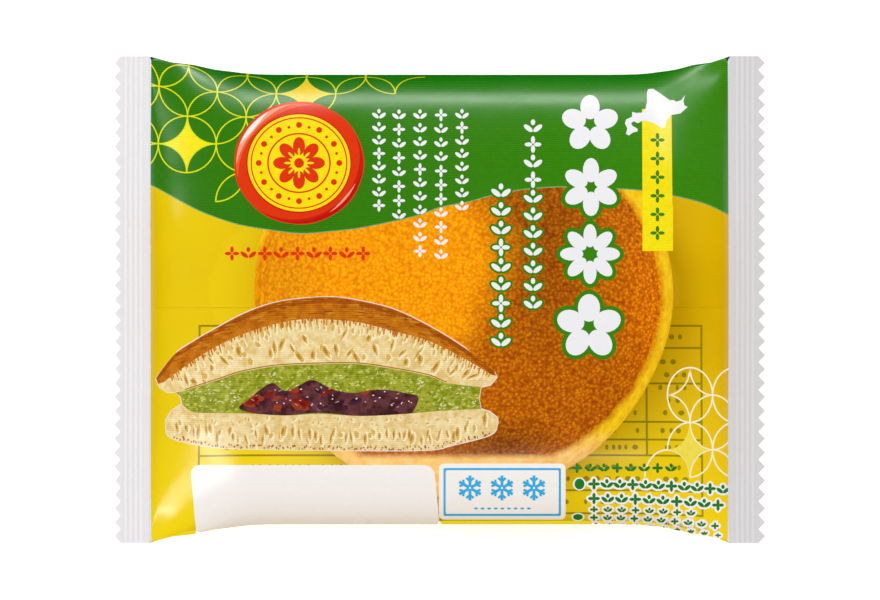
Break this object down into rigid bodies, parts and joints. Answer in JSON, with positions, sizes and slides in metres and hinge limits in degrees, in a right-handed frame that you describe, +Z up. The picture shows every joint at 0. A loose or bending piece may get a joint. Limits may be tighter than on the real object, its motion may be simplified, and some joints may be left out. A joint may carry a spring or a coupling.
{
  "type": "cream dorayaki in a sealed film pack",
  "caption": "Sealed pillow pack of printed film with crimped, toothed ends, puffed out by the one round filled pancake sweet inside, lying on its back.",
  "frame": {"origin": "under the middle of the pack, on the level of its flat underside", "axes": "+X along the pack, from one crimped end to the other; +Y across it, towards the top of the print; +Z up, out of the printed front"},
  "size_m": [0.14, 0.1046, 0.0265],
  "materials": {
    "printed_film": "glossy printed film, clear yellow window over a browned pancake"
  },
  "bodies": {
    "root": {"film_pack": "printed_film"}
  },
  "joints": []
}
